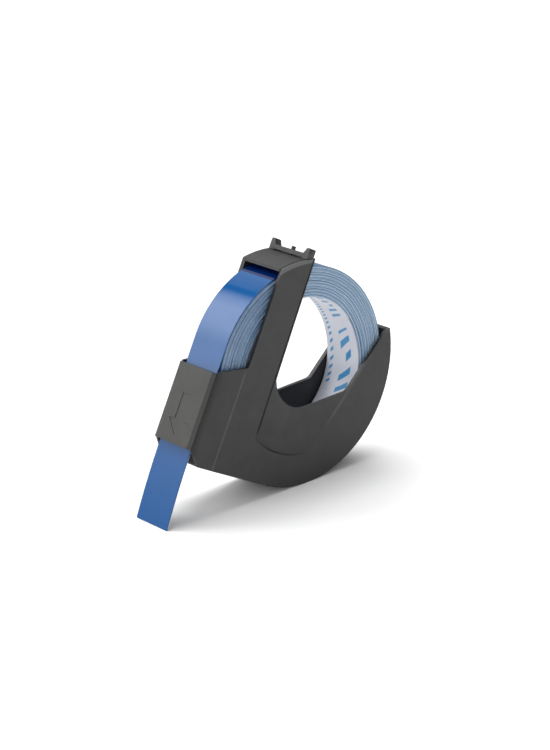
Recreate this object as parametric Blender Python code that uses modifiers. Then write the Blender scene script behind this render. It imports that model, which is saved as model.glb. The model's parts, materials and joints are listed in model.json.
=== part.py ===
"""A cassette of 9 mm embossing tape for a hand label maker, at its real size. Units are metres, +Z is up.

Everything is drawn upright under an empty, cassette_frame, whose origin is the centre of the roll:
x runs from the front plate to the back, y across the tape and z up the column. The empty then leans
back until the round belly and the free end of the tape both touch the ground, as the cassette stands.
"""

import math

import bmesh
import bpy
from mathutils import Matrix, Vector

MM = 0.001

# The tape and its roll: 3 m of vinyl tape on a backing strip, wound without a core.
TAPE_WIDTH = 9.0 * MM
TAPE = 0.18 * MM  # vinyl and adhesive
BACKING = 0.05 * MM  # the peel-off strip behind it
ROLL_RADIUS = 20.56 * MM
CORE_RADIUS = 14.37 * MM
INNER_TURN = 0.15 * MM  # the loose last turn of backing inside the roll
LAYER_GAP = 0.03 * MM
ROLL_STEPS = 112

# The roll is loose: it hangs towards the lower back, and its last turn of backing stands off behind the window.
SAG_ANGLE = -22.0  # degrees round the roll
SAG_SPREAD = 80.0
SAG_INSIDE = 1.2 * MM
SAG_OUTSIDE = 0.6 * MM
SLACK_ANGLE = 180.0
SLACK_SPREAD = 55.0
SLACK = 1.3 * MM

# The holder: two side walls joined by a rim, a cap and a guide, with the roll between them.
HALF_WIDTH = 5.7 * MM
WALL = 0.9 * MM
INNER_HALF = HALF_WIDTH - WALL
SEAM = 0.08 * MM
COVER_JOINT = -4.95 * MM  # where the tray ends and the flat cover on the near side begins
COVER_SEAM = 0.12 * MM
RIM_CENTRE = (-0.7 * MM, 0.0)
RIM_RADIUS = 23.05 * MM
RIM_WALL = 0.95 * MM
CAP_RADIUS = 21.8 * MM
CAP_WALL = 0.62 * MM
EDGE = 0.11 * MM  # rounding of the moulded edges
THIN_EDGE = 0.08 * MM  # the same on the plate and the peg
FINE_EDGE = 0.05 * MM  # the same on the catch
ARC_STEP = 3.0  # degrees between the points of a round edge

# The column and the finger hole, in the side walls.
COLUMN_FRONT = -14.55 * MM
COLUMN_BACK_TOP = -6.85 * MM
COLUMN_BACK = -6.25 * MM
HOLE_CENTRE = (-0.1 * MM, -0.45 * MM)
HOLE_RADIUS = 6.7 * MM
SHOULDER = (12.28 * MM, -1.17 * MM)
TIP_ANGLE = 35.2
TIP_INNER = (17.5 * MM, 13.08 * MM)
TIP_ROUNDING = 0.15 * MM
SHOULDER_ROUNDING = 1.6 * MM
COLUMN_FOOT_ROUNDING = 0.8 * MM
CHEEK_ROUNDING = 0.4 * MM
HOLE_LEAVES_COLUMN = 12.0  # degrees of the hole's circle that the rounding at the column's foot takes up

# The opening of the window at the top, and how far back the lip of the cap stands inside it.
WINDOW_TOP = 16.27 * MM
LIP_SET_BACK = 0.35 * MM
CAP_OVERRUN = 1.5 * MM  # the cap's hollow runs on behind the column

# The nose: the front plate, the cheeks beside the tape and the guide rib behind it.
PLATE_FACE = -21.9 * MM
PLATE_THICKNESS = 0.6 * MM
PLATE_TOP = -5.4 * MM
PLATE_FOOT = -20.4 * MM
PLATE_NEAR_EDGE = -4.55 * MM  # the near edge is cut back, where the cover's cheek curves in to meet it
PLATE_FAR_EDGE = 4.85 * MM
PLATE_BACK_HALF = 5.15 * MM
PLATE_CORNER = 0.4 * MM
PLATE_SEAM = 0.04 * MM
ARROW_SHAFT = 2.5 * MM
ARROW_HEAD = 5.6 * MM
ARROW_TOP = -10.7 * MM
ARROW_NECK = -15.9 * MM
ARROW_TIP = -18.8 * MM
ARROW_DEPTH = 0.1 * MM
CHEEK_FRONT = PLATE_FACE + PLATE_THICKNESS + PLATE_SEAM
CHEEK_TOP = (COLUMN_FRONT, -2.6 * MM)
NOSE_CREASE = -14.95 * MM
# How far each cheek stands out, from the plate back to the crease: it curves away and then runs straight.
CHEEK_CURVE = [(-21.26, 5.18), (-21.0, 5.25), (-20.6, 5.32), (-20.1, 5.38), (-19.4, 5.44), (-18.4, 5.50)]
BELLY_END = -18.55 * MM
GUIDE_FACE = -19.95 * MM
GUIDE_THICKNESS = 0.8 * MM
GUIDE_TOP = -10.0 * MM
GUIDE_FRONT_FOOT = PLATE_FOOT + 0.6 * MM
GUIDE_BACK_FOOT = PLATE_FOOT + 0.3 * MM
BELLY_FRONT = 0.5 * MM  # the underside's front edge, in front of where the belly ends
BELLY_EDGE = 0.4 * MM

# The thumb recess in each side wall. Its floor rises from the column to nothing at the fade line.
RECESS_LEFT_TOP = (-7.75 * MM, 22.5 * MM)
RECESS_LEFT_FOOT = (-7.1 * MM, -11.0 * MM)
RECESS_RADIUS = 16.5 * MM
RECESS_CORNER = 1.4 * MM
RECESS_CORNER_TURN = 9.0  # degrees of the recess's round edge that the corner takes up
RECESS_END = 60.0
RECESS_DEPTH = 0.5 * MM  # beside the column
RECESS_FADE = (Vector((9.1, -11.6)) * MM, Vector((13.1, 0.2)) * MM)

# The catch and the peg on the cap.
CATCH_FRONT = -9.25 * MM
CATCH_DEPTH = 1.7 * MM
BAR_THICKNESS = 0.5 * MM
BAR_FOOT = 20.35 * MM
BAR_TOP = 21.2 * MM
EAR_TOP = 22.35 * MM
EAR_HALF_SPAN = 5.4 * MM
EAR_INNER_FOOT = 3.95 * MM
EAR_INNER_TOP = 4.65 * MM
EAR_FOOT = 20.0 * MM  # under the cap's surface, where the cap cuts it
EAR_ROUNDING = 0.34 * MM
SLIT = 0.14 * MM
SLIT_FROM_FRONT = 0.32 * MM
PEG_HALF = (0.35 * MM, 0.3 * MM)
PEG_CENTRE = -8.2 * MM
PEG_TOP = 21.9 * MM

# The tape's way out: round the roll, down behind the plate and on to the ground.
LEAD_START = 127.0  # degrees round the roll, hidden under the cap
LEAD_LEAVES = 181.0
LEAD_END = -6.5 * MM
TAIL_START = -6.9 * MM
TAIL_BEND_START = -20.6 * MM
TAIL_BEND_RADIUS = 160.0 * MM
TAIL_BEND = 5.55  # degrees
BACKING_SHORT = 0.6 * MM

PLANES = {
    "x": Matrix(((0, 0, 1), (1, 0, 0), (0, 1, 0))).to_4x4(),
    "y": Matrix(((1, 0, 0), (0, 0, -1), (0, 1, 0))).to_4x4(),
    "z": Matrix.Identity(4),
}


def clear_scene():
    for obj in list(bpy.data.objects):
        bpy.data.objects.remove(obj, do_unlink=True)


def collection(name):
    made = bpy.data.collections.new(name)
    bpy.context.scene.collection.children.link(made)
    return made


def plastic(name, colour, roughness):
    material = bpy.data.materials.new(name)
    material.use_nodes = True
    shader = material.node_tree.nodes["Principled BSDF"]
    shader.inputs["Base Color"].default_value = (*colour, 1.0)
    shader.inputs["Roughness"].default_value = roughness
    shader.inputs["Metallic"].default_value = 0.0
    return material


def polar(centre, radius, degrees):
    angle = math.radians(degrees)
    return centre[0] + radius * math.cos(angle), centre[1] + radius * math.sin(angle)


def arc(centre, radius, start, end, step=ARC_STEP):
    """Points of an arc from start to end degrees, anticlockwise when end is larger."""
    count = max(2, math.ceil(abs(end - start) / step))
    return [polar(centre, radius, start + (end - start) * i / count) for i in range(count + 1)]


def angle_at(centre, radius, x):
    """The angle in the upper half of a circle where it passes x."""
    return math.degrees(math.acos((x - centre[0]) / radius))


def fillet(before, corner, after, radius, steps=4):
    """Points of the arc that rounds a corner."""
    before, corner, after = Vector(before), Vector(corner), Vector(after)
    to_before, to_after = (before - corner).normalized(), (after - corner).normalized()
    half = to_before.angle(to_after) / 2
    reach = radius / math.tan(half)
    middle = corner + (to_before + to_after).normalized() * radius / math.sin(half)
    first = (corner + to_before * reach - middle).normalized()
    last = (corner + to_after * reach - middle).normalized()
    return [tuple(middle + first.slerp(last, i / steps) * radius) for i in range(steps + 1)]


def welded_mesh(obj, place):
    """A mesh object made from a curve, with its caps joined on and its flat faces whole."""
    graph = bpy.context.evaluated_depsgraph_get()
    mesh = bpy.data.meshes.new_from_object(obj.evaluated_get(graph))
    mesh.transform(place @ obj.matrix_world)
    shape = bmesh.new()
    shape.from_mesh(mesh)
    bmesh.ops.remove_doubles(shape, verts=shape.verts, dist=0.002 * MM)
    bmesh.ops.dissolve_limit(shape, angle_limit=math.radians(0.05), verts=shape.verts, edges=shape.edges)
    bmesh.ops.recalc_face_normals(shape, faces=shape.faces)
    shape.to_mesh(mesh)
    shape.free()
    return mesh


def slab(name, outline, axis, low, high, hole=()):
    """A closed flat outline, with a hole or without, extruded along an axis of the frame from low to high."""
    curve = bpy.data.curves.new(name + "_outline", "CURVE")
    curve.dimensions = "2D"
    curve.fill_mode = "BOTH"
    curve.extrude = (high - low) / 2
    for loop in filter(None, (outline, hole)):
        line = curve.splines.new("POLY")
        line.points.add(len(loop) - 1)
        for point, (a, b) in zip(line.points, loop):
            point.co = (a, b, 0, 1)
        line.use_cyclic_u = True
    guide = bpy.data.objects.new(name + "_outline", curve)
    bpy.context.scene.collection.objects.link(guide)
    bpy.context.view_layer.update()
    middle = Matrix.Translation(Vector([(low + high) / 2 if axis == k else 0 for k in "xyz"]))
    obj = bpy.data.objects.new(name, welded_mesh(guide, middle @ PLANES[axis]))
    bpy.data.objects.remove(guide, do_unlink=True)
    bpy.data.curves.remove(curve)
    return obj


def swell(degrees, centre, spread):
    """1 at the centre angle, falling smoothly to 0 that many degrees to either side."""
    off = (degrees - centre + 180) % 360 - 180
    return math.cos(math.radians(90 * off / spread)) ** 2 if abs(off) < spread else 0.0


def winding_loop(radius, slack=0.0):
    """The outline of a turn of the loose roll, which would be a circle of that radius if it were tight."""
    share = (radius - CORE_RADIUS) / (ROLL_RADIUS - CORE_RADIUS)
    sag = SAG_INSIDE + (SAG_OUTSIDE - SAG_INSIDE) * share
    points = []
    for i in range(ROLL_STEPS):
        degrees = 360 * i / ROLL_STEPS
        hangs = sag * swell(degrees, SAG_ANGLE, SAG_SPREAD)
        stands_off = slack * swell(degrees, SLACK_ANGLE, SLACK_SPREAD)
        points.append(polar((0, 0), radius + hangs - stands_off, degrees))
    return points


def combine(obj, other, operation="DIFFERENCE"):
    """Cuts or joins with a helper, which stays in the file but isn't part of the cassette."""
    bpy.data.collections["cutters"].objects.link(other)
    other.hide_render = True
    other.display_type = "WIRE"
    step = obj.modifiers.new(other.name, "BOOLEAN")
    step.operation = operation
    step.solver = "EXACT"
    step.object = other


def soften(obj, width=EDGE, segments=2):
    """Rounds the sharp edges, as a mould does."""
    bevel = obj.modifiers.new("moulded edges", "BEVEL")
    bevel.width = width
    bevel.segments = segments
    bevel.limit_method = "ANGLE"
    bevel.angle_limit = math.radians(35)
    bevel.miter_outer = "MITER_ARC"


def strip_outline(centreline, thickness):
    """The outline of a strip of even thickness along a line of points."""
    points = [Vector(p) for p in centreline]
    sides = ([], [])
    for i, point in enumerate(points):
        along = (points[min(i + 1, len(points) - 1)] - points[max(i - 1, 0)]).normalized()
        across = Vector((-along.y, along.x)) * thickness / 2
        sides[0].append(tuple(point + across))
        sides[1].append(tuple(point - across))
    return sides[0] + sides[1][::-1]


def tangent_angle(centre, radius, point):
    """Where a line from a point touches the underside of a circle, in degrees round the circle."""
    away = Vector(point) - Vector(centre)
    return math.degrees(math.atan2(away.y, away.x) - math.acos(radius / away.length))


def side_outline():
    """The side view of the holder, anticlockwise from the front of the nose."""
    cap_front = angle_at(RIM_CENTRE, CAP_RADIUS, COLUMN_FRONT)
    cap_back = angle_at(RIM_CENTRE, CAP_RADIUS, COLUMN_BACK_TOP)
    column_top = polar(RIM_CENTRE, CAP_RADIUS, cap_back)
    column_foot_angle = -angle_at(HOLE_CENTRE, HOLE_RADIUS, COLUMN_BACK)
    column_foot = polar(HOLE_CENTRE, HOLE_RADIUS, column_foot_angle)
    hole_turn = column_foot_angle + HOLE_LEAVES_COLUMN
    hole_end = tangent_angle(HOLE_CENTRE, HOLE_RADIUS, SHOULDER)
    hole_leaves = polar(HOLE_CENTRE, HOLE_RADIUS, hole_end)
    tip_outer = polar(RIM_CENTRE, RIM_RADIUS, TIP_ANGLE)
    cheek_slope = (CHEEK_TOP[1] - PLATE_TOP) / (CHEEK_TOP[0] - PLATE_FACE)
    cheek_front_top = (CHEEK_FRONT, PLATE_TOP + cheek_slope * (CHEEK_FRONT - PLATE_FACE))
    return [
        cheek_front_top,
        (CHEEK_FRONT, PLATE_FOOT),
        (BELLY_END, -RIM_RADIUS),
        *arc(RIM_CENTRE, RIM_RADIUS, -90, TIP_ANGLE),
        *fillet(tip_outer, TIP_INNER, SHOULDER, TIP_ROUNDING, 2),
        *fillet(TIP_INNER, SHOULDER, hole_leaves, SHOULDER_ROUNDING, 5),
        *arc(HOLE_CENTRE, HOLE_RADIUS, hole_end, hole_turn, 6),
        *fillet(polar(HOLE_CENTRE, HOLE_RADIUS, hole_turn), column_foot, column_top, COLUMN_FOOT_ROUNDING, 3),
        *arc(RIM_CENTRE, CAP_RADIUS, cap_back, cap_front),
        *fillet((COLUMN_FRONT, 0), CHEEK_TOP, cheek_front_top, CHEEK_ROUNDING, 3),
    ]


def cavity_outline():
    """The space between the side walls: open at the window, the hole and the nose, closed by the rim and cap."""
    lip = CAP_RADIUS - CAP_WALL
    outside = 30 * MM
    lip_front = angle_at(RIM_CENTRE, lip, COLUMN_FRONT + LIP_SET_BACK)
    lip_back_x = COLUMN_BACK_TOP + CAP_OVERRUN
    rim_inner = RIM_RADIUS - RIM_WALL
    guide_back = GUIDE_FACE + GUIDE_THICKNESS
    belly_inner = -rim_inner
    rib_end = (GUIDE_FACE + GUIDE_THICKNESS / 2, GUIDE_TOP)
    return [
        (-outside, -outside),
        (BELLY_END - BELLY_FRONT, -outside),
        (BELLY_END - BELLY_FRONT, -RIM_RADIUS + BELLY_EDGE),
        (GUIDE_FACE, GUIDE_FRONT_FOOT),
        *arc(rib_end, GUIDE_THICKNESS / 2, 180, 0, 45),
        (guide_back, GUIDE_BACK_FOOT),
        (BELLY_END + BELLY_EDGE, belly_inner),
        *arc(RIM_CENTRE, rim_inner, -90, TIP_ANGLE + 3),
        (outside, outside),
        (lip_back_x, outside),
        *arc(RIM_CENTRE, lip, angle_at(RIM_CENTRE, lip, lip_back_x), lip_front),
        (COLUMN_FRONT - 0.1 * MM, WINDOW_TOP),
        (-outside, WINDOW_TOP),
    ]


def nose_taper(side):
    """Outside the cheeks: from full width at the crease to the plate's width at its face."""
    surface = [(x * MM, side * y * MM) for x, y in CHEEK_CURVE]
    (first_x, first_y), (last_x, last_y) = surface[0], surface[-1]
    slope = (side * HALF_WIDTH - last_y) / (NOSE_CREASE - last_x)
    behind = NOSE_CREASE + 2 * MM
    outline = [
        *surface,
        (behind, last_y + slope * (behind - last_x)),
        (behind, side * (HALF_WIDTH + 3 * MM)),
        (first_x - 3 * MM, side * (HALF_WIDTH + 3 * MM)),
        (first_x - 3 * MM, first_y),
    ]
    name = "nose_taper_far" if side > 0 else "nose_taper_near"
    return slab(name, outline, "z", -30 * MM, 30 * MM)


def thumb_recess(side):
    """A shallow pocket concentric with the roll. Its floor rises to nothing at the fade line."""
    low, high = RECESS_FADE
    along = (high - low).normalized()
    to_column = Vector((-along.y, along.x))
    reach = (Vector(RECESS_LEFT_FOOT) - low).dot(to_column)
    foot_angle = -math.degrees(math.acos(RECESS_LEFT_FOOT[0] / RECESS_RADIUS))
    corner = polar((0, 0), RECESS_RADIUS, foot_angle)
    beside_corner = polar((0, 0), RECESS_RADIUS, foot_angle + RECESS_CORNER_TURN)
    outline = [
        RECESS_LEFT_TOP,
        *fillet(RECESS_LEFT_TOP, corner, beside_corner, RECESS_CORNER, 5),
        *arc((0, 0), RECESS_RADIUS, foot_angle + RECESS_CORNER_TURN, RECESS_END),
        (RECESS_RADIUS / 2, RECESS_LEFT_TOP[1]),
    ]
    name = "thumb_recess_far" if side > 0 else "thumb_recess_near"
    floor = side * (HALF_WIDTH - RECESS_DEPTH)
    outer = side * (HALF_WIDTH + 2 * MM)
    pocket = slab(name, outline, "y", min(floor, outer), max(floor, outer))
    shape = bmesh.new()
    shape.from_mesh(pocket.data)
    foot = Vector((RECESS_LEFT_FOOT[0], 0, RECESS_LEFT_FOOT[1]))
    everything = [*shape.verts, *shape.edges, *shape.faces]
    bmesh.ops.bisect_plane(shape, geom=everything, plane_co=foot, plane_no=(to_column.x, 0, to_column.y))
    for vertex in shape.verts:
        if abs(vertex.co.y - floor) < 0.001 * MM:
            depth = (Vector((vertex.co.x, vertex.co.z)) - low).dot(to_column) / reach
            vertex.co.y = side * (HALF_WIDTH - RECESS_DEPTH * min(depth, 1.0))
    shape.to_mesh(pocket.data)
    shape.free()
    return pocket


def cassette_tray():
    tray = slab("cassette_tray", side_outline(), "y", COVER_JOINT, HALF_WIDTH)
    combine(tray, slab("tray_cavity", cavity_outline(), "y", -INNER_HALF - 1 * MM, INNER_HALF))
    combine(tray, nose_taper(1))
    combine(tray, thumb_recess(1))
    soften(tray)
    return tray


def side_cover():
    cover = slab("side_cover", side_outline(), "y", -HALF_WIDTH, COVER_JOINT - COVER_SEAM)
    combine(cover, nose_taper(-1))
    combine(cover, thumb_recess(-1))
    soften(cover)
    return cover


def front_guide_plate():
    """The plate that the tape runs down behind, with a sunk arrow that shows the way. Its sides slant back."""
    near, far, back, foot = PLATE_NEAR_EDGE, PLATE_FAR_EDGE, PLATE_BACK_HALF, PLATE_FOOT
    outline = [
        *fillet((back, foot), (back, PLATE_TOP), (-back, PLATE_TOP), PLATE_CORNER, 3),
        *fillet((back, PLATE_TOP), (-back, PLATE_TOP), (-back, foot), PLATE_CORNER, 3),
        (-back, foot),
        (back, foot),
    ]
    plate_back = PLATE_FACE + PLATE_THICKNESS
    plate = slab("front_guide_plate", outline, "x", PLATE_FACE, plate_back)
    for name, edge, side in (("plate_slant_near", near, -1), ("plate_slant_far", far, 1)):
        slope = (side * back - edge) / PLATE_THICKNESS
        out_there = edge + side * 2 * MM
        slant = [
            (PLATE_FACE - 1 * MM, edge - slope * 1 * MM),
            (plate_back, side * back),
            (plate_back, out_there),
            (PLATE_FACE - 1 * MM, out_there),
        ]
        combine(plate, slab(name, slant, "z", -30 * MM, 0))
    shaft, head, top, neck, tip = ARROW_SHAFT / 2, ARROW_HEAD / 2, ARROW_TOP, ARROW_NECK, ARROW_TIP
    arrow = [(-shaft, top), (-shaft, neck), (-head, neck), (0, tip), (head, neck), (shaft, neck), (shaft, top)]
    combine(plate, slab("arrow", arrow, "x", PLATE_FACE - 1 * MM, PLATE_FACE + ARROW_DEPTH))
    soften(plate, THIN_EDGE)
    return plate


def cap_height(x):
    return math.sqrt(CAP_RADIUS**2 - (x - RIM_CENTRE[0]) ** 2)


def rectangle(low, high):
    return [low, (high[0], low[1]), high, (low[0], high[1])]


def top_catch():
    """A cross bar between two ears. Each ear reaches back from the bar and stands on the cap."""
    inner_foot, inner_top, ear_foot = EAR_INNER_FOOT, EAR_INNER_TOP, EAR_FOOT
    ear = [
        (inner_foot, BAR_FOOT),
        (inner_foot, ear_foot),
        (EAR_HALF_SPAN, ear_foot),
        *fillet((EAR_HALF_SPAN, ear_foot), (EAR_HALF_SPAN, EAR_TOP), (inner_top, EAR_TOP), EAR_ROUNDING, 4),
        *fillet((EAR_HALF_SPAN, EAR_TOP), (inner_top, EAR_TOP), (inner_foot, BAR_TOP), EAR_ROUNDING, 4),
        (inner_foot, BAR_TOP),
    ]
    front_view = ear + [(-y, z) for y, z in reversed(ear)]
    catch = slab("top_catch", front_view, "x", CATCH_FRONT, CATCH_FRONT + CATCH_DEPTH)
    behind = rectangle((CATCH_FRONT + BAR_THICKNESS, 15 * MM), (CATCH_FRONT + 5 * MM, 25 * MM))
    combine(catch, slab("behind_bar", behind, "y", -inner_foot, inner_foot))
    under = arc(RIM_CENTRE, CAP_RADIUS + SEAM, angle_at(RIM_CENTRE, CAP_RADIUS, CATCH_FRONT - 2 * MM), 95)
    below = [*under, (under[-1][0], 15 * MM), (under[0][0], 15 * MM)]
    combine(catch, slab("cap_clearance", below, "y", -8 * MM, 8 * MM))
    slit_front = CATCH_FRONT + SLIT_FROM_FRONT
    slits = rectangle((slit_front, BAR_TOP + 0.1 * MM), (slit_front + SLIT, EAR_TOP + 1 * MM))
    combine(catch, slab("ear_slits", slits, "y", -8 * MM, 8 * MM))
    soften(catch, FINE_EDGE)
    return catch


def locating_peg():
    half_x, half_y = PEG_HALF
    foot = cap_height(PEG_CENTRE - half_x) + SEAM + 0.15 * MM
    outline = [
        (PEG_CENTRE - half_x, foot),
        (PEG_CENTRE + half_x, foot),
        (PEG_CENTRE + half_x, PEG_TOP),
        (PEG_CENTRE - half_x, PEG_TOP),
    ]
    peg = slab("locating_peg", outline, "y", -half_y, half_y)
    soften(peg, THIN_EDGE)
    return peg


def layer(name, inner, outer, slack=0.0):
    """The turns of the roll between two radii."""
    half = TAPE_WIDTH / 2
    return slab(name, winding_loop(outer, slack), "y", -half, half, winding_loop(inner, slack))


def roll():
    """The windings between one loose turn of backing inside and the last turn of tape outside."""
    skin = ROLL_RADIUS - TAPE
    liner = layer("backing_liner", CORE_RADIUS, CORE_RADIUS + INNER_TURN, SLACK)
    windings = layer("tape_windings", CORE_RADIUS + INNER_TURN + LAYER_GAP, skin - LAYER_GAP)
    last_turn = layer("outer_tape_turn", skin, ROLL_RADIUS)
    return liner, windings, last_turn


def lead_line():
    """The middle of the tape from under the cap to where it goes behind the plate."""
    radius = ROLL_RADIUS + LAYER_GAP + TAPE / 2
    leaves = polar((0, 0), radius, LEAD_LEAVES)
    end = leaves[0] + (leaves[1] - LEAD_END) * math.tan(math.radians(LEAD_LEAVES - 180))
    return [*arc((0, 0), radius, LEAD_START, LEAD_LEAVES), (end, LEAD_END)]


def tape_lead():
    half = TAPE_WIDTH / 2
    return slab("tape_lead", strip_outline(lead_line(), TAPE), "y", -half, half)


def tail_line(offset, start, shorter=0.0):
    """The middle of a layer of the free tape: straight in the nose, then curling a little under the belly."""
    x = lead_line()[-1][0] + offset
    radius = TAIL_BEND_RADIUS - offset
    bend = TAIL_BEND - math.degrees(shorter / radius)
    return [(x, start), *arc((x + radius, TAIL_BEND_START), radius, 180, 180 + bend, 0.9)]


def free_tape(name, line, thickness):
    """A layer of the free tape, with its origin where it leaves the nose."""
    half = TAPE_WIDTH / 2
    strip = slab(name, strip_outline(line, thickness), "y", -half, half)
    leaves = Vector((line[0][0], 0, PLATE_FOOT))
    strip.data.transform(Matrix.Translation(-leaves))
    strip.location = leaves
    return strip


def tape_tail():
    return free_tape("tape_tail", tail_line(0, TAIL_START), TAPE)


def tail_backing():
    offset = TAPE / 2 + LAYER_GAP + BACKING / 2
    return free_tape("tail_backing", tail_line(offset, TAIL_START, BACKING_SHORT), BACKING)


def leaning_angle():
    """The lean at which the belly and the lower edge of the tape's end are level."""
    end_x, end_z = tail_line(0, TAIL_START)[-1]
    end_x += TAPE / 2 * math.cos(math.radians(TAIL_BEND))
    end_z -= TAPE / 2 * math.sin(math.radians(TAIL_BEND))
    across = RIM_CENTRE[0] - end_x
    reach = math.hypot(across, end_z)
    return math.atan2(across, end_z) - math.acos(-RIM_RADIUS / reach)


def stand(frame, parts):
    """Leans the cassette and sets it on the ground with the origin under its middle."""
    frame.rotation_euler.y = leaning_angle()
    bpy.context.view_layer.update()
    graph = bpy.context.evaluated_depsgraph_get()
    points = [
        part.matrix_world @ vertex.co for part in parts for vertex in part.evaluated_get(graph).data.vertices
    ]
    frame.location.x = -(min(p.x for p in points) + max(p.x for p in points)) / 2
    frame.location.z = -min(p.z for p in points)


def shade(parts):
    for part in parts:
        part.data.shade_smooth()
        part.data.set_sharp_from_angle(angle=math.radians(30))


def main():
    clear_scene()
    cassette = collection("embossing_tape_cassette")
    collection("cutters").hide_render = True
    frame = bpy.data.objects.new("cassette_frame", None)
    cassette.objects.link(frame)

    holder = plastic("charcoal plastic", (0.055, 0.055, 0.058), 0.5)
    front = plastic("charcoal plastic plate", (0.075, 0.075, 0.075), 0.55)
    blue = plastic("blue vinyl tape", (0.05, 0.16, 0.40), 0.3)
    layers = plastic("wound tape edges", (0.25, 0.38, 0.52), 0.45)
    paper = plastic("backing strip", (0.60, 0.61, 0.66), 0.5)

    liner, windings, last_turn = roll()
    finishes = [
        (cassette_tray(), holder),
        (side_cover(), holder),
        (front_guide_plate(), front),
        (top_catch(), holder),
        (locating_peg(), holder),
        (liner, paper),
        (windings, layers),
        (last_turn, blue),
        (tape_lead(), blue),
        (tape_tail(), blue),
        (tail_backing(), paper),
    ]
    for part, material in finishes:
        cassette.objects.link(part)
        part.parent = frame
        part.data.materials.append(material)
    parts = [part for part, _ in finishes]
    for cutter in bpy.data.collections["cutters"].objects:
        cutter.parent = frame
    shade(parts)
    stand(frame, parts)


main()
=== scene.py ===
"""The looks of the embossing tape cassette: a satin charcoal holder, a wound roll of blue tape and its backing.

Lengths in the drawing functions are millimetres in the cassette's own upright frame: u from the front plate
to the back, y across the tape and v up the column, with the centre of the roll at the origin.
"""

import json
import math

import bpy
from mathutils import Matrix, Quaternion, Vector


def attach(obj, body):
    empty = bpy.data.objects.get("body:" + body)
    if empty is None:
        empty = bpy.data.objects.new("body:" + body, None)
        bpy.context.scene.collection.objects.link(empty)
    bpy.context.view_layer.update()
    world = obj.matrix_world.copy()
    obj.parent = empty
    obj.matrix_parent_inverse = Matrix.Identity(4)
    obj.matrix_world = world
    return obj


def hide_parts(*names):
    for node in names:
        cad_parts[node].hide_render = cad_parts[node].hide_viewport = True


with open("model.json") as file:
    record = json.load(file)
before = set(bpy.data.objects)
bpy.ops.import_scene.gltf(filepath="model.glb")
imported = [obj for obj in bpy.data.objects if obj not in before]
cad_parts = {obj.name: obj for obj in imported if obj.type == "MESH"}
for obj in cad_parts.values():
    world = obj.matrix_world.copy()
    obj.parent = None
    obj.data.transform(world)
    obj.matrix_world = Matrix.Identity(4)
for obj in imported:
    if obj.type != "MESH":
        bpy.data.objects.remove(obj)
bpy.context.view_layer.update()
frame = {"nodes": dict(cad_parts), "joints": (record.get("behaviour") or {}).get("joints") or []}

NODES = frame["nodes"]
JOINTS = {joint["name"]: joint for joint in frame["joints"]}
MM = 0.001
ROLL_CENTRE = Vector(JOINTS["roll_spin"]["pos_m"])
TAIL_AXIS = Vector(JOINTS["tail_feed"]["axis"])
U_AXIS = Vector((-TAIL_AXIS.z, 0.0, TAIL_AXIS.x))
V_AXIS = -TAIL_AXIS
Y_AXIS = Vector((0.0, 1.0, 0.0))

# The roll, wound turn on turn. Angles are in degrees, from the back and counting up over the top.
TAPE_HALF_WIDTH = 4.5
ROLL_RADIUS = 20.56
WOUND_INSIDE = 14.68
PITCH = 0.23
TURN_STEPS = 120
WINDING_END = -100.0  # where the outer end lies under the rim
CORE_RADIUS = 14.37
SAG_ANGLE, SAG_SPREAD, SAG_INSIDE, SAG_OUTSIDE = -22.0, 80.0, 1.2, 0.6
SLACK_ANGLE, SLACK_SPREAD, SLACK = 180.0, 55.0, 1.3

# How a turn wanders sideways: sines of (millimetres, rate, share of the layer's phase, offset).
WANDER = ((0.050, 0.83, 1.0, 0.0), (0.034, 1.71, 2.1, 1.0), (0.026, 0.317, 1.0, 0.4), (0.018, 3.37, 0.7, 0.0))

# The tone of the turns: a sine over the turn number, bent by noise, with painted shade on the side by the
# window.
GROUP_STEP, GROUP_DRIFT = 2.6, 7.0
WINDOW_FROM, WINDOW_TO, WINDOW_SHADE_SHARE = -9.0, -15.0, 0.15

# The loose inner turn of backing and what is drawn on it.
LINER_RADIUS = 14.42
LINER_THICKNESS = 0.045
LINER_START = 225.0
LINER_STEPS, LINER_OVERLAP, LINER_ACROSS = 168, 8, 6
BAR_PITCH = 1.5
BAR_SLANT = 0.40
BAR_FOOT, SHORT_BAR_TOP, TALL_BAR_TOP = -2.4, -0.9, 0.5
DASH_PERIOD = 19.0
PRINT_STARTS = 80.0  # millimetres along the liner
PRINT_INK = (0.002, 0.225, 0.500)

# Lines on the side walls, as they stand in the CAD.
CREASE = -14.95
RECESS_RADIUS = 16.5
RECESS_LEFT_TOP = (-7.75, 22.5)
RECESS_LEFT_FOOT = (-7.1, -11.0)
FADE_LINE = (0.947, -0.321, 12.34)  # u times the first and v times the second is the third along the line

# What is painted over those lines: a painted highlight tone and a painted shade tone, each with its largest
# share, and a relief.
PAINTED_HIGHLIGHT_TONE, PAINTED_SHADE_TONE = (0.095, 0.095, 0.098), (0.004, 0.004, 0.0045)
CREASE_HALF_WIDTH, CREASE_DRIFT, CREASE_HIGHLIGHT_SHARE = 0.16, 0.10, 0.45
FADE_HALF_WIDTH, FADE_HIGHLIGHT_SHARE = 0.30, 0.35
WALL_SHADOW_ENDS, WALL_SHADOW_FADES, WALL_SHADOW_SHARE = 0.95, 0.55, 0.95
WALL_RISES, WALL_SINKS, WALL_RELIEF = 0.8, 7.0, 0.55
FLOOR_EDGE_SHADE_SHARE, FLOOR_EDGE_RELIEF = 0.15, 0.10
CHEEK_SHADE_SHARE = 0.6

# The strip in the window.
LEAD_RADIUS = 20.68
LEAD_START, LEAD_LEAVES = 127.0, 181.0
LEAD_END = -6.5
LEAD_BEND_STEPS, LEAD_RUN_STEPS, LEAD_ACROSS = 60, 8, 8
LEAD_CROWN = 0.02
LIP_SHADOW = 136.5  # where the strip is out of the cap lip's shade
LIP_FROM, LIP_TO = -0.14, 0.10  # millimetres from there towards the cap
LIP_TONE = (0.001, 0.013, 0.085)
TAPE = 0.18

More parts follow.
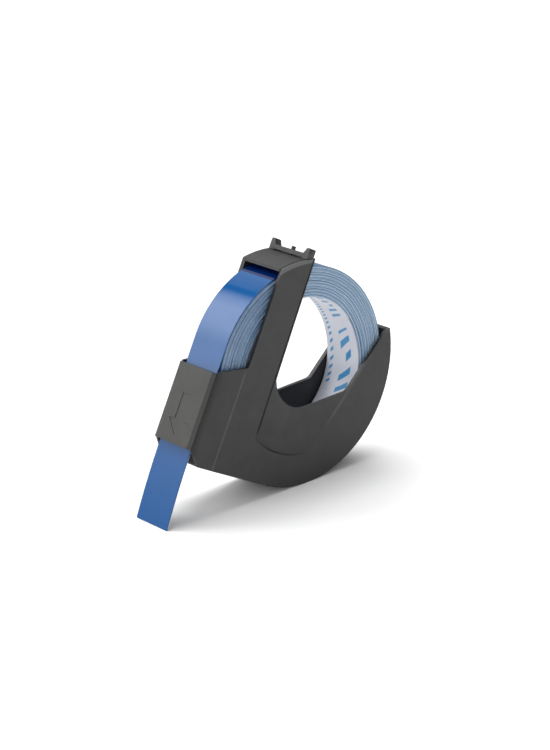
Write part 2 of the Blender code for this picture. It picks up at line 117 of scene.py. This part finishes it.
# Soft boxes: azimuth from, to and the softness of each, then the same for elevation, in degrees.
KEY_BOX = ((-52.0, -3.0, 3.0, 0.8), (1.0, 50.0, 1.0, 5.0))
BESIDE_BOX = ((3.2, 46.0, 1.2, 6.0), (14.0, 46.0, 8.0, 4.0))
LEFT_BOX = ((-142.0, -92.0, 12.0, 10.0), (6.0, 34.0, 5.0, 8.0))
LEFT_STRENGTH = 1.6
OVERHEAD_TOWARDS, OVERHEAD_STRENGTH = (0.10, 0.25, 0.96), 5.4

CAMERA_PLACE, CAMERA_LOOKS = (-0.267610, -0.318291, 0.176045), (0.607614, 0.714372, -0.347099)
CAMERA_ROLL, CAMERA_LENS, CAMERA_SENSOR = -1.892, 111.4, 36.0


def at(u, y, v):
    """The world point of a point of the cassette's upright frame, given in millimetres."""
    return ROLL_CENTRE + (U_AXIS * u + Y_AXIS * y + V_AXIS * v) * MM


def swell(degrees, centre, spread):
    """1 at the centre angle, falling smoothly to 0 that many degrees to either side."""
    off = (degrees - centre + 180.0) % 360.0 - 180.0
    return math.cos(math.radians(90.0 * off / spread)) ** 2 if abs(off) < spread else 0.0


def loose_radius(radius, degrees, slack=0.0):
    """Where a turn of the loose roll lies that would have that radius if it were tight."""
    share = (radius - CORE_RADIUS) / (ROLL_RADIUS - CORE_RADIUS)
    sag = SAG_INSIDE + (SAG_OUTSIDE - SAG_INSIDE) * share
    hangs = sag * swell(degrees, SAG_ANGLE, SAG_SPREAD)
    return radius + hangs - slack * swell(degrees, SLACK_ANGLE, SLACK_SPREAD)


# ---------------------------------------------------------------- node trees


class Tree:
    """Short calls for building a node tree."""

    def __init__(self, tree):
        self.tree = tree
        tree.nodes.clear()

    def node(self, kind, **settings):
        made = self.tree.nodes.new(kind)
        for name, value in settings.items():
            setattr(made, name, value)
        return made

    def put(self, socket, value):
        if isinstance(value, bpy.types.NodeSocket):
            self.tree.links.new(value, socket)
        elif isinstance(value, (tuple, list, Vector)) and len(value) == 3 and len(socket.default_value) == 4:
            socket.default_value = (*value, 1.0)
        else:
            socket.default_value = value

    def math(self, operation, *values, clamp=False):
        made = self.node("ShaderNodeMath", operation=operation, use_clamp=clamp)
        for socket, value in zip(made.inputs, values):
            self.put(socket, value)
        return made.outputs[0]

    def vector(self, operation, *values):
        made = self.node("ShaderNodeVectorMath", operation=operation)
        for socket, value in zip(made.inputs, values):
            self.put(socket, value)
        return made.outputs["Value" if operation in ("DOT_PRODUCT", "LENGTH") else "Vector"]

    def scaled(self, vector, amount):
        made = self.node("ShaderNodeVectorMath", operation="SCALE")
        self.put(made.inputs[0], vector)
        self.put(made.inputs["Scale"], amount)
        return made.outputs[0]

    def ramp(self, value, low, high, to_low=0.0, to_high=1.0, smooth=False):
        """From to_low at low to to_high at high, and level beyond. low may be the larger of the two."""
        made = self.node("ShaderNodeMapRange", interpolation_type="SMOOTHSTEP" if smooth else "LINEAR")
        for name, number in (("Value", value), ("From Min", low), ("From Max", high),
                             ("To Min", to_low), ("To Max", to_high)):
            self.put(made.inputs[name], number)
        return made.outputs[0]

    def mix(self, share, first, second, blend="MIX"):
        made = self.node("ShaderNodeMix", data_type="RGBA", blend_type=blend)
        self.put(made.inputs[0], share)
        self.put(made.inputs[6], first)
        self.put(made.inputs[7], second)
        return made.outputs[2]

    def noise(self, vector, scale, detail=3.0, roughness=0.55, distortion=0.0):
        made = self.node("ShaderNodeTexNoise")
        self.put(made.inputs["Vector"], vector)
        for name, number in (("Scale", scale), ("Detail", detail), ("Roughness", roughness),
                             ("Distortion", distortion)):
            made.inputs[name].default_value = number
        return made.outputs[0]

    def value_of(self, name):
        """A number stored on the mesh under that name."""
        return self.node("ShaderNodeAttribute", attribute_name=name).outputs["Fac"]

    def millimetres(self):
        """Object coordinates in millimetres."""
        return self.scaled(self.node("ShaderNodeTexCoord").outputs["Object"], 1000.0)

    def upright(self):
        """The place in the cassette's upright frame in millimetres, as three numbers u, y and v."""
        place = self.vector("SUBTRACT", self.node("ShaderNodeTexCoord").outputs["Object"], ROLL_CENTRE)
        return [self.math("MULTIPLY", self.vector("DOT_PRODUCT", place, axis), 1000.0)
                for axis in (U_AXIS, Y_AXIS, V_AXIS)]

    def product(self, *shares):
        product = shares[0]
        for share in shares[1:]:
            product = self.math("MULTIPLY", product, share)
        return product

    def bump(self, height, distance, strength=1.0, normal=None):
        """The normal over a relief, whose height is the value times distance in millimetres."""
        made = self.node("ShaderNodeBump")
        made.inputs["Strength"].default_value = strength
        made.inputs["Distance"].default_value = distance * MM
        self.put(made.inputs["Height"], height)
        if normal is not None:
            self.put(made.inputs["Normal"], normal)
        return made.outputs[0]


def surface(name, build):
    """A material whose Principled shader takes its inputs from what build returns."""
    material = bpy.data.materials.new(name)
    material.use_nodes = True
    tree = Tree(material.node_tree)
    shader = tree.node("ShaderNodeBsdfPrincipled")
    output = tree.node("ShaderNodeOutputMaterial")
    tree.put(output.inputs["Surface"], shader.outputs[0])
    for socket, value in build(tree).items():
        tree.put(shader.inputs[socket], value)
    return material


def moulded_plastic(name, dark, light, roughness, grain, marks=None):
    """Satin moulded plastic: a fine grain, faint mottling and a few duller patches.

    marks(tree) may return the share of the painted highlight tone, the share of the painted shade tone and a
    height in millimetres.
    """

    def build(tree):
        place = tree.millimetres()
        mottle = tree.noise(place, 0.22, 4.0, 0.6)
        flow = tree.noise(place, 0.9, 2.0, 0.5, 0.6)
        speck = tree.noise(place, 5.5, 2.0, 0.7)
        colour = tree.mix(tree.ramp(mottle, 0.35, 0.65), dark, light)
        colour = tree.mix(tree.ramp(speck, 0.60, 0.78, 0.0, 0.30), colour, [2.1 * c for c in light])
        patches = tree.ramp(tree.noise(place, 0.35, 6.0, 0.7, 1.2), 0.56, 0.68, 0.0, 1.0, smooth=True)
        shine = tree.math("ADD", tree.ramp(flow, 0.3, 0.7, roughness - 0.035, roughness + 0.035),
                          tree.math("MULTIPLY", patches, 0.07))
        fine = tree.noise(place, 7.5, 2.0, 0.5)
        normal = tree.bump(tree.noise(place, 0.55, 2.0, 0.5), 0.010)
        if marks is not None:
            paler, darker, height = marks(tree)
            # The painted highlight and then the painted shade go over the plastic's own colour.
            colour = tree.mix(paler, colour, PAINTED_HIGHLIGHT_TONE)
            colour = tree.mix(darker, colour, PAINTED_SHADE_TONE)
            shine = tree.math("ADD", shine, tree.math("MULTIPLY", darker, 0.35))
            normal = tree.bump(height, 1.0, 1.0, normal)
        return {
            "Base Color": colour,
            "Roughness": shine,
            "IOR": 1.49,
            "Normal": tree.bump(fine, grain, 1.0, normal),
        }

    return surface(name, build)


def holder_painted_light(tree):
    """Painted light and shade on the side walls: shares of the painted highlight and of the painted shade, and
    a relief in millimetres.

    Nothing here is wear or dirt. The CAD's own steps read too faintly in this light, so their highlights and
    shadows are painted over them.
    """
    u, y, v = tree.upright()
    radius = tree.math("POWER", tree.math("ADD", tree.product(u, u), tree.product(v, v)), 0.5)
    side = tree.ramp(tree.math("ABSOLUTE", y), 4.9, 5.1)

    # Painted highlight: along the crease of the nose, along the line where the recess runs out to the back,
    # and along the cap's near edge.
    noise = tree.math("SUBTRACT", tree.noise(tree.millimetres(), 0.4, 3.0), 0.5)
    wandering = tree.math("ADD", u, tree.math("MULTIPLY", noise, CREASE_DRIFT))
    crease = stripe(tree, wandering, CREASE - CREASE_HALF_WIDTH, CREASE + CREASE_HALF_WIDTH, 0.10)
    crease = tree.product(crease, side, tree.ramp(v, -3.0, -4.0))
    fade = tree.math("ADD", tree.math("MULTIPLY", u, FADE_LINE[0]), tree.math("MULTIPLY", v, FADE_LINE[1]))
    fade = stripe(tree, tree.math("SUBTRACT", fade, FADE_LINE[2]), -FADE_HALF_WIDTH, FADE_HALF_WIDTH, 0.25)
    fade = tree.product(fade, side, tree.ramp(v, -9.5, -6.0),
                        tree.ramp(radius, RECESS_RADIUS, RECESS_RADIUS - 1.0))
    cap_edge_highlight = tree.product(tree.ramp(y, -5.45, -5.6), tree.ramp(v, 12.0, 14.0), tree.ramp(radius, 21.3, 21.5))
    paler = tree.math("MAXIMUM", tree.math("MAXIMUM", tree.math("MULTIPLY", crease, CREASE_HIGHLIGHT_SHARE), cap_edge_highlight),
                      tree.math("MULTIPLY", fade, FADE_HIGHLIGHT_SHARE))

    # Painted shade: the shadow at the foot of the recess's wall, shade on its floor along the arc, the shadow
    # on the nose's cheek beside the plate, and shade in the seam by the cap.
    lean = (RECESS_LEFT_FOOT[0] - RECESS_LEFT_TOP[0]) / (RECESS_LEFT_FOOT[1] - RECESS_LEFT_TOP[1])
    wall_line = tree.math("ADD", tree.math("MULTIPLY", v, lean), RECESS_LEFT_TOP[0] - lean * RECESS_LEFT_TOP[1])
    behind = tree.math("SUBTRACT", u, wall_line)
    inside = tree.product(side, tree.ramp(radius, RECESS_RADIUS + 0.05, RECESS_RADIUS - 0.3))
    above = tree.math("MAXIMUM", inside, tree.product(side, tree.ramp(v, 12.0, 12.5)))
    wall = tree.product(tree.ramp(behind, -0.05, 0.05),
                        tree.ramp(behind, WALL_SHADOW_ENDS, WALL_SHADOW_FADES, smooth=True), above,
                        tree.ramp(v, -14.8, -13.4, smooth=True))
    floor_edge = tree.product(tree.ramp(radius, RECESS_RADIUS - 2.6, RECESS_RADIUS - 0.1, smooth=True), inside,
                              tree.ramp(behind, 0.0, 0.2), tree.ramp(u, 8.0, 0.0), tree.ramp(v, -5.0, -9.0))
    cheek = tree.product(tree.ramp(u, -19.4, -21.5, smooth=True), side, tree.ramp(v, -2.0, -4.0))
    seam = tree.product(stripe(tree, y, -5.32, -5.16, 0.05), tree.ramp(v, 10.0, 12.0),
                        tree.ramp(radius, 21.2, 21.4))
    darker = tree.math("MAXIMUM", tree.math("MAXIMUM", tree.math("MULTIPLY", wall, WALL_SHADOW_SHARE), seam),
                       tree.math("MAXIMUM", tree.math("MULTIPLY", floor_edge, FLOOR_EDGE_SHADE_SHARE),
                                 tree.math("MULTIPLY", cheek, CHEEK_SHADE_SHARE)))

    # Relief: it rises from the wall's line over 0.8 mm and sinks again over the next 6.2 mm. It fades out
    # downwards between v -10.5 and -15, so that it leaves no edge across the arc.
    slope = tree.product(tree.ramp(behind, 0.0, WALL_RISES),
                         tree.ramp(behind, WALL_RISES, WALL_SINKS, 1.0, 0.0),
                         side, tree.ramp(v, -15.0, -10.5, smooth=True))
    height = tree.math("ADD", tree.math("MULTIPLY", slope, WALL_RELIEF),
                       tree.math("MULTIPLY", floor_edge, FLOOR_EDGE_RELIEF))
    return paler, darker, height


def tape_vinyl(name, colour, deep, roughness, wave, gloss=0.5, from_cap=False):
    """Glossy embossing vinyl with a slow ripple along it and the finest surface haze.

    With from_cap, the stretch beside the cap's lip is drawn darker, as it is in the lip's shade in the photo.
    """

    def build(tree):
        place = tree.millimetres()
        cloud = tree.noise(place, 0.30, 3.0, 0.5)
        haze = tree.noise(place, 1.6, 4.0, 0.65)
        tint = tree.mix(tree.ramp(cloud, 0.3, 0.7), deep, colour)
        ripple = tree.bump(tree.noise(place, 0.16, 1.0, 0.4), wave)
        shine = tree.ramp(haze, 0.25, 0.75, roughness * 0.8, roughness * 1.25)
        if from_cap:
            u, _, v = tree.upright()
            edge = math.radians(LIP_SHADOW)
            towards_cap = tree.math("SUBTRACT", tree.math("MULTIPLY", u, math.sin(edge)),
                                    tree.math("MULTIPLY", v, math.cos(edge)))
            tint = tree.mix(tree.ramp(towards_cap, LIP_FROM, LIP_TO, smooth=True), tint, LIP_TONE)
        return {
            "Base Color": tint,
            "Roughness": shine,
            "IOR": 1.50,
            "Specular IOR Level": gloss,
            "Normal": tree.bump(tree.noise(place, 6.0, 2.0, 0.5), 0.0012, 1.0, ripple),
        }

    return surface(name, build)


def winding_shade(tree):
    """From 0 to 1, how pale a turn's edge is. The turns lie in loose groups of two or three, and on the side by
    the window the edges carry painted shade.
    """
    drift = tree.math("MULTIPLY", tree.noise(tree.millimetres(), 0.07, 2.0, 0.5), GROUP_DRIFT)
    turned = tree.math("MULTIPLY", tree.value_of("turn"), GROUP_STEP)
    groups = tree.math("SINE", tree.math("ADD", turned, drift))
    # Painted shade: the edges on the side by the window are drawn darker.
    window_shade = tree.ramp(tree.upright()[0], WINDOW_FROM, WINDOW_TO, 1.0, WINDOW_SHADE_SHARE)
    return tree.math("MULTIPLY", tree.ramp(groups, -0.7, 0.8), window_shade)


def turn_tone(tree, place, seed, own_share, cloud_scale):
    """The shade of a wound edge: its group's, with each turn and each spot a little different."""
    which = tree.node("ShaderNodeTexWhiteNoise", noise_dimensions="1D")
    tree.put(which.inputs["W"], tree.math("ADD", tree.math("FLOOR", tree.value_of("turn")), seed))
    cloud = tree.noise(place, cloud_scale, 3.0, 0.6)
    shade = tree.math("ADD", winding_shade(tree), tree.math("MULTIPLY", which.outputs[0], own_share))
    return tree.math("ADD", shade, tree.ramp(cloud, 0.3, 0.7, -0.1, 0.1), clamp=True)


def cut_vinyl(name):
    """The slit edges of the wound tape, paler than its face."""

    def build(tree):
        place = tree.millimetres()
        shade = turn_tone(tree, place, 0.0, 0.25, 0.5)
        return {
            "Base Color": tree.mix(shade, (0.028, 0.092, 0.210), (0.175, 0.325, 0.480)),
            "Roughness": 0.42,
            "IOR": 1.50,
            "Normal": tree.bump(tree.noise(place, 5.0, 3.0, 0.6), 0.006),
        }

    return surface(name, build)


def backing_edges(name):
    """The edges of the backing between the turns of tape, the palest lines of the roll's side."""

    def build(tree):
        place = tree.millimetres()
        shade = turn_tone(tree, place, 0.5, 0.20, 0.8)
        return {
            "Base Color": tree.mix(shade, (0.30, 0.41, 0.56), (0.80, 0.86, 0.93)),
            "Roughness": 0.55,
            "IOR": 1.45,
            "Normal": tree.bump(tree.noise(place, 6.0, 2.0, 0.5), 0.004),
        }

    return surface(name, build)


def repeat(tree, value, period):
    """Where a length lies inside its period, from 0 to 1."""
    return tree.math("FRACT", tree.math("DIVIDE", value, period))


def stripe(tree, value, low, high, soft):
    """1 between low and high, with edges that many units soft."""
    rising = tree.ramp(value, low - soft, low + soft, smooth=True)
    falling = tree.ramp(value, high - soft, high + soft, 1.0, 0.0, smooth=True)
    return tree.math("MULTIPLY", rising, falling)


def print_ink(tree, place):
    """How inked the liner is: groups of plain slanted bars, one in three short, and a row of small dashes."""
    along, across = tree.value_of("along"), tree.value_of("across")
    slanted = tree.math("ADD", tree.math("SUBTRACT", along, PRINT_STARTS),
                        tree.math("MULTIPLY", across, BAR_SLANT))
    bars = stripe(tree, repeat(tree, slanted, BAR_PITCH), 0.14, 0.60, 0.04)
    group = stripe(tree, repeat(tree, slanted, 16 * BAR_PITCH), 0.0, 0.90, 0.002)
    tall = tree.math("GREATER_THAN", repeat(tree, slanted, 3 * BAR_PITCH), 0.34)
    below_top = tree.math("SUBTRACT", across, tree.ramp(tall, 0.0, 1.0, SHORT_BAR_TOP, TALL_BAR_TOP))
    band = tree.product(tree.ramp(across, BAR_FOOT - 0.05, BAR_FOOT + 0.05), tree.ramp(below_top, 0.05, -0.05))
    dashes = stripe(tree, repeat(tree, slanted, 0.5 * BAR_PITCH), 0.18, 0.60, 0.06)
    gap = stripe(tree, repeat(tree, along, DASH_PERIOD), 0.05, 0.88, 0.004)
    small = tree.product(dashes, gap, stripe(tree, across, 2.7, 3.6, 0.06))
    ink = tree.math("MAXIMUM", tree.product(bars, group, band), small)
    return tree.math("MULTIPLY", ink, tree.ramp(tree.noise(place, 4.0, 3.0, 0.6), 0.25, 0.55, 0.86, 1.0))


def backing_paper(name, printed):
    """Smooth pale backing, with its marks where printed."""

    def build(tree):
        place = tree.millimetres()
        cloud = tree.noise(place, 0.25, 3.0, 0.5)
        fibre = tree.noise(place, 3.5, 4.0, 0.7)
        base = tree.mix(tree.ramp(cloud, 0.3, 0.7), (0.57, 0.59, 0.66), (0.64, 0.655, 0.72))
        base = tree.mix(tree.ramp(fibre, 0.55, 0.75, 0.0, 0.25), base, (0.50, 0.52, 0.59))
        if printed:
            base = tree.mix(print_ink(tree, place), base, PRINT_INK)
        return {
            "Base Color": base,
            "Roughness": tree.ramp(cloud, 0.3, 0.7, 0.34, 0.46),
            "IOR": 1.47,
            "Normal": tree.bump(fibre, 0.003, 1.0, tree.bump(tree.noise(place, 0.3, 1.0, 0.4), 0.03)),
        }

    return surface(name, build)


# ---------------------------------------------------------------- pieces


def finished_edges(obj, angle):
    """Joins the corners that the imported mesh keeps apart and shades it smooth, save edges over that angle."""
    tree = bpy.data.node_groups.new("finished_edges_" + obj.name, "GeometryNodeTree")
    tree.interface.new_socket("Geometry", in_out="INPUT", socket_type="NodeSocketGeometry")
    tree.interface.new_socket("Geometry", in_out="OUTPUT", socket_type="NodeSocketGeometry")
    start, end = tree.nodes.new("NodeGroupInput"), tree.nodes.new("NodeGroupOutput")
    merge = tree.nodes.new("GeometryNodeMergeByDistance")
    merge.inputs["Distance"].default_value = 0.002 * MM
    smooth = tree.nodes.new("GeometryNodeSetShadeSmooth")
    creased = tree.nodes.new("GeometryNodeSetShadeSmooth")
    creased.domain = "EDGE"
    edge_angle = tree.nodes.new("GeometryNodeInputMeshEdgeAngle")
    sharp = tree.nodes.new("FunctionNodeCompare")
    sharp.data_type, sharp.operation = "FLOAT", "GREATER_THAN"
    sharp.inputs["B"].default_value = math.radians(angle)
    creased.inputs["Shade Smooth"].default_value = False
    link = tree.links.new
    link(start.outputs[0], merge.inputs["Geometry"])
    link(merge.outputs[0], smooth.inputs["Geometry"])
    link(smooth.outputs[0], creased.inputs["Geometry"])
    link(edge_angle.outputs["Unsigned Angle"], sharp.inputs["A"])
    link(sharp.outputs[0], creased.inputs["Selection"])
    link(creased.outputs[0], end.inputs[0])
    obj.modifiers.new("finished_edges", "NODES").node_group = tree
    weighted = obj.modifiers.new("flat_faces", "WEIGHTED_NORMAL")
    weighted.keep_sharp = True
    weighted.weight = 100


def clear_custom_normals(obj):
    attribute = obj.data.attributes.get("custom_normal")
    if attribute is not None:
        obj.data.attributes.remove(attribute)


def dress(name, material, angle=40.0):
    """A CAD node that stays in view, with its material and shading."""
    obj = NODES[name]
    obj.data.materials.clear()
    obj.data.materials.append(material)
    clear_custom_normals(obj)
    finished_edges(obj, angle)
    return obj


def ribbon(name, sections, materials, body, numbers=None):
    """A strip from its cross-sections, each a ring of points (u, y, v), riding on a body.

    materials is a list of (material, the ring sides that wear it); numbers maps an attribute name to one value
    for each section and ring point.
    """
    ring = len(sections[0])
    points = [at(*point) for section in sections for point in section]
    faces, sides = [], []
    for i in range(len(sections) - 1):
        here, there = i * ring, (i + 1) * ring
        for j in range(ring):
            k = (j + 1) % ring
            faces.append((here + j, here + k, there + k, there + j))
            sides.append(j)
    faces.append(tuple(reversed(range(ring))))
    faces.append(tuple((len(sections) - 1) * ring + j for j in range(ring)))
    sides += [0, 0]
    mesh = bpy.data.meshes.new(name)
    mesh.from_pydata([tuple(p) for p in points], [], faces)
    for index, (material, wearing) in enumerate(materials):
        mesh.materials.append(material)
        for polygon, side in zip(mesh.polygons, sides):
            if side in wearing:
                polygon.material_index = index
    for polygon in mesh.polygons:
        polygon.use_smooth = True
    for key, values in (numbers or {}).items():
        attribute = mesh.attributes.new(key, "FLOAT", "POINT")
        attribute.data.foreach_set("value", [v for section in values for v in section])
    mesh.update()
    mesh.set_sharp_from_angle(angle=math.radians(38.0))
    obj = bpy.data.objects.new(name, mesh)
    bpy.context.scene.collection.objects.link(obj)
    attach(obj, body)
    return obj


def wander(angle, phase):
    """How far a turn stands out of line, in millimetres, as the angle counts up through the turns."""
    return sum(height * math.sin(rate * angle + share * phase + offset)
               for height, rate, share, offset in WANDER)


def wound_ribbon(name, under, thickness, material, phase, stand):
    """A spiral layer, whose outside lies that far under the outside of each turn. Its edges stand out by stand.

    One material covers all four sides, so the round outer face of the roll wears the look of the cut edges too.
    """
    turns = (ROLL_RADIUS - WOUND_INSIDE) / PITCH
    sections, turn_numbers = [], []
    for i in range(int(turns * TURN_STEPS) + 1):
        angle = math.radians(WINDING_END) - 2 * math.pi * i / TURN_STEPS
        radius = loose_radius(ROLL_RADIUS - under - PITCH * i / TURN_STEPS, math.degrees(angle))
        shift = wander(angle, phase)
        low, high = radius - thickness, radius
        cos, sin = math.cos(angle), math.sin(angle)
        near, far = -TAPE_HALF_WIDTH - stand + shift, TAPE_HALF_WIDTH + stand + shift
        sections.append([(high * cos, near, high * sin), (high * cos, far, high * sin),
                         (low * cos, far, low * sin), (low * cos, near, low * sin)])
        turn_numbers.append([i / TURN_STEPS] * 4)
    return ribbon(name, sections, [(material, range(4))], "roll", {"turn": turn_numbers})


def across_points(steps):
    """Places across the tape, from its near edge to its far edge."""
    return [TAPE_HALF_WIDTH * (2 * k / steps - 1) for k in range(steps + 1)]


def strip_sections(path, thickness, steps, crown):
    """Sections of a strip along path, a list of ((u, v), outward normal). Its edges lie lower by crown."""
    sections = []
    for (u, v), normal in path:
        outer, inner = [], []
        for y in across_points(steps):
            out = thickness / 2 + crown * (1 - (y / TAPE_HALF_WIDTH) ** 2) - crown
            outer.append((u + normal[0] * out, y, v + normal[1] * out))
            inner.append((u + normal[0] * (out - thickness), y, v + normal[1] * (out - thickness)))
        sections.append(outer + inner[::-1])
    return sections


def lead_path():
    """The strip that runs over the front of the roll and down behind the plate."""
    path = []
    for i in range(LEAD_BEND_STEPS + 1):
        angle = math.radians(LEAD_START + (LEAD_LEAVES - LEAD_START) * i / LEAD_BEND_STEPS)
        normal = (math.cos(angle), math.sin(angle))
        path.append(((LEAD_RADIUS * normal[0], LEAD_RADIUS * normal[1]), normal))
    (u, v), normal = path[-1]
    run = v - LEAD_END
    for i in range(1, LEAD_RUN_STEPS + 1):
        path.append(((u, v - run * i / LEAD_RUN_STEPS), (-1.0, 0.0)))
    return path


def printed_turn(material, edge):
    """The last turn of backing, loose inside the roll, its print towards the middle and its end overlapping."""
    ys = across_points(LINER_ACROSS)
    sections, along, across = [], [], []
    for i in range(LINER_STEPS + LINER_OVERLAP + 1):
        degrees = LINER_START + 360.0 * i / LINER_STEPS
        lift = LINER_THICKNESS * max(0.0, (i - LINER_STEPS + LINER_OVERLAP) / (2 * LINER_OVERLAP))
        outer = loose_radius(LINER_RADIUS, degrees, SLACK) - lift
        inner = outer - LINER_THICKNESS
        cos, sin = math.cos(math.radians(degrees)), math.sin(math.radians(degrees))
        shift = 0.03 * math.sin(math.radians(3 * degrees) + 0.5)
        section = [(outer * cos, y + shift, outer * sin) for y in ys]
        section += [(inner * cos, y + shift, inner * sin) for y in reversed(ys)]
        sections.append(section)
        along.append([math.radians(degrees) * inner] * len(section))
        across.append(ys + ys[::-1])
    ring = len(sections[0])
    inside = list(range(ring // 2, ring - 1))
    wearing = [(material, inside), (edge, [side for side in range(ring) if side not in inside])]
    return ribbon("printed_backing_turn", sections, wearing, "roll", {"along": along, "across": across})


HOLDER = moulded_plastic("holder_plastic_look", (0.0145, 0.0145, 0.0160), (0.0200, 0.0200, 0.0220), 0.46,
                         0.006, holder_painted_light)
CATCH = moulded_plastic("catch_plastic_look", (0.024, 0.0235, 0.0225), (0.031, 0.0305, 0.0295), 0.42, 0.006)
PEG = moulded_plastic("peg_plastic_look", (0.018, 0.014, 0.012), (0.026, 0.020, 0.017), 0.5, 0.006)
# The plate is moulded in the holder's plastic: the lighter, warmer tone it is given here is painted light for
# the light on its face.
LIT_PLATE_PLASTIC = moulded_plastic("lit_plate_plastic_look", (0.033, 0.033, 0.031), (0.041, 0.041, 0.038), 0.47, 0.008)
VINYL = tape_vinyl("blue_vinyl_look", (0.008, 0.088, 0.280), (0.007, 0.080, 0.252), 0.07, 0.025, from_cap=True)
TAIL_VINYL = tape_vinyl("tail_vinyl_look", (0.007, 0.082, 0.268), (0.006, 0.076, 0.246), 0.20, 0.012,
                        gloss=0.32)
VINYL_EDGE = cut_vinyl("cut_vinyl_look")
BACKING_EDGE = backing_edges("backing_edge_look")
PRINTED = backing_paper("printed_backing_look", True)
BACKING = backing_paper("plain_backing_look", False)

dress("cassette_tray", HOLDER)
dress("side_cover", HOLDER)
dress("front_guide_plate", LIT_PLATE_PLASTIC, 30.0)
dress("top_catch", CATCH, 35.0)
dress("locating_peg", PEG, 35.0)
dress("tape_tail", TAIL_VINYL, 30.0)
dress("tail_backing", BACKING, 30.0)

vinyl = wound_ribbon("wound_vinyl", 0.0, 0.165, VINYL_EDGE, 0.0, 0.0)
backing = wound_ribbon("wound_backing", 0.170, 0.052, BACKING_EDGE, 0.9, 0.025)
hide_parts("tape_windings", "outer_tape_turn")
liner = printed_turn(PRINTED, BACKING)
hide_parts("backing_liner")

lead = ribbon("window_tape", strip_sections(lead_path(), TAPE, LEAD_ACROSS, LEAD_CROWN),
              [(VINYL, range(2 * (LEAD_ACROSS + 1)))], "holder")
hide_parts("tape_lead")


# ---------------------------------------------------------------- floor, light and camera


def floor():
    reach = 6.0
    corners = [(-reach, -reach, 0), (reach, -reach, 0), (reach, reach, 0), (-reach, reach, 0)]
    mesh = bpy.data.meshes.new("floor")
    mesh.from_pydata(corners, [], [(0, 1, 2, 3)])

    def build(tree):
        place = tree.node("ShaderNodeTexCoord").outputs["Object"]
        colour = tree.mix(tree.ramp(tree.noise(place, 3.0, 2.0), 0.3, 0.7), (0.905, 0.905, 0.905),
                          (0.925, 0.925, 0.925))
        return {"Base Color": colour, "Roughness": 0.85, "IOR": 1.3}

    mesh.materials.append(surface("floor_look", build))
    obj = bpy.data.objects.new("floor", mesh)
    bpy.context.scene.collection.objects.link(obj)


def studio():
    """White where the camera looks past the floor; soft boxes in a dim room for everything that light does."""
    world = bpy.data.worlds.new("studio")
    bpy.context.scene.world = world
    world.use_nodes = True
    tree = Tree(world.node_tree)
    ray = tree.vector("NORMALIZE", tree.node("ShaderNodeTexCoord").outputs["Generated"])
    parts = tree.node("ShaderNodeSeparateXYZ")
    tree.put(parts.inputs[0], ray)
    x, y, z = parts.outputs
    azimuth = tree.math("DEGREES", tree.math("ARCTAN2", x, y))
    elevation = tree.math("DEGREES", tree.math("ARCSINE", z))

    def between(angle, low, high, soft_low, soft_high):
        rising = tree.ramp(angle, low - soft_low, low + soft_low, smooth=True)
        falling = tree.ramp(angle, high - soft_high, high + soft_high, 1.0, 0.0, smooth=True)
        return tree.math("MULTIPLY", rising, falling)

    def box(azimuths, elevations, strength):
        area = tree.math("MULTIPLY", between(azimuth, *azimuths), between(elevation, *elevations))
        return tree.math("MULTIPLY", area, strength)

    climb = tree.math("ADD", tree.ramp(elevation, 2.0, 12.0, 0.35, 1.8),
                      tree.ramp(elevation, 12.0, 29.0, 0.0, 2.2))
    edge = tree.math("ADD", tree.ramp(azimuth, -3.5, -10.0, 0.12, 0.62),
                     tree.ramp(azimuth, -10.0, -20.0, 0.0, 0.38))
    key = tree.math("MULTIPLY", box(*KEY_BOX, climb), edge)
    beside = box(*BESIDE_BOX, tree.ramp(azimuth, 4.0, 22.0, 0.50, 0.75))
    left = box(*LEFT_BOX, LEFT_STRENGTH)
    towards = tree.vector("DOT_PRODUCT", ray, Vector(OVERHEAD_TOWARDS).normalized())
    overhead = tree.math("MULTIPLY", tree.ramp(towards, 0.86, 0.95, smooth=True), OVERHEAD_STRENGTH)
    glow = tree.math("ADD", tree.math("ADD", key, beside), tree.math("ADD", left, overhead))
    front = tree.ramp(y, 0.3, -0.6, 0.05, 0.42, smooth=True)
    shown = tree.node("ShaderNodeBackground")
    shown.inputs["Color"].default_value = (1.0, 1.0, 1.0, 1.0)
    lit = tree.node("ShaderNodeBackground")
    tree.put(lit.inputs["Strength"], tree.math("ADD", glow, front))
    lit.inputs["Color"].default_value = (1.0, 1.0, 1.0, 1.0)
    choose = tree.node("ShaderNodeMixShader")
    tree.put(choose.inputs[0], tree.node("ShaderNodeLightPath").outputs["Is Camera Ray"])
    tree.put(choose.inputs[1], lit.outputs[0])
    tree.put(choose.inputs[2], shown.outputs[0])
    tree.put(tree.node("ShaderNodeOutputWorld").inputs["Surface"], choose.outputs[0])


def camera():
    data = bpy.data.cameras.new("camera")
    data.lens = CAMERA_LENS
    data.sensor_width = CAMERA_SENSOR
    data.clip_start, data.clip_end = 0.01, 50.0
    obj = bpy.data.objects.new("camera", data)
    bpy.context.scene.collection.objects.link(obj)
    obj.location = CAMERA_PLACE
    turn = (-Vector(CAMERA_LOOKS)).to_track_quat("Z", "Y") @ Quaternion((0, 0, 1), math.radians(CAMERA_ROLL))
    obj.rotation_mode = "QUATERNION"
    obj.rotation_quaternion = turn
    bpy.context.scene.camera = obj


floor()
studio()
camera()
bpy.context.scene.view_settings.view_transform = "Standard"
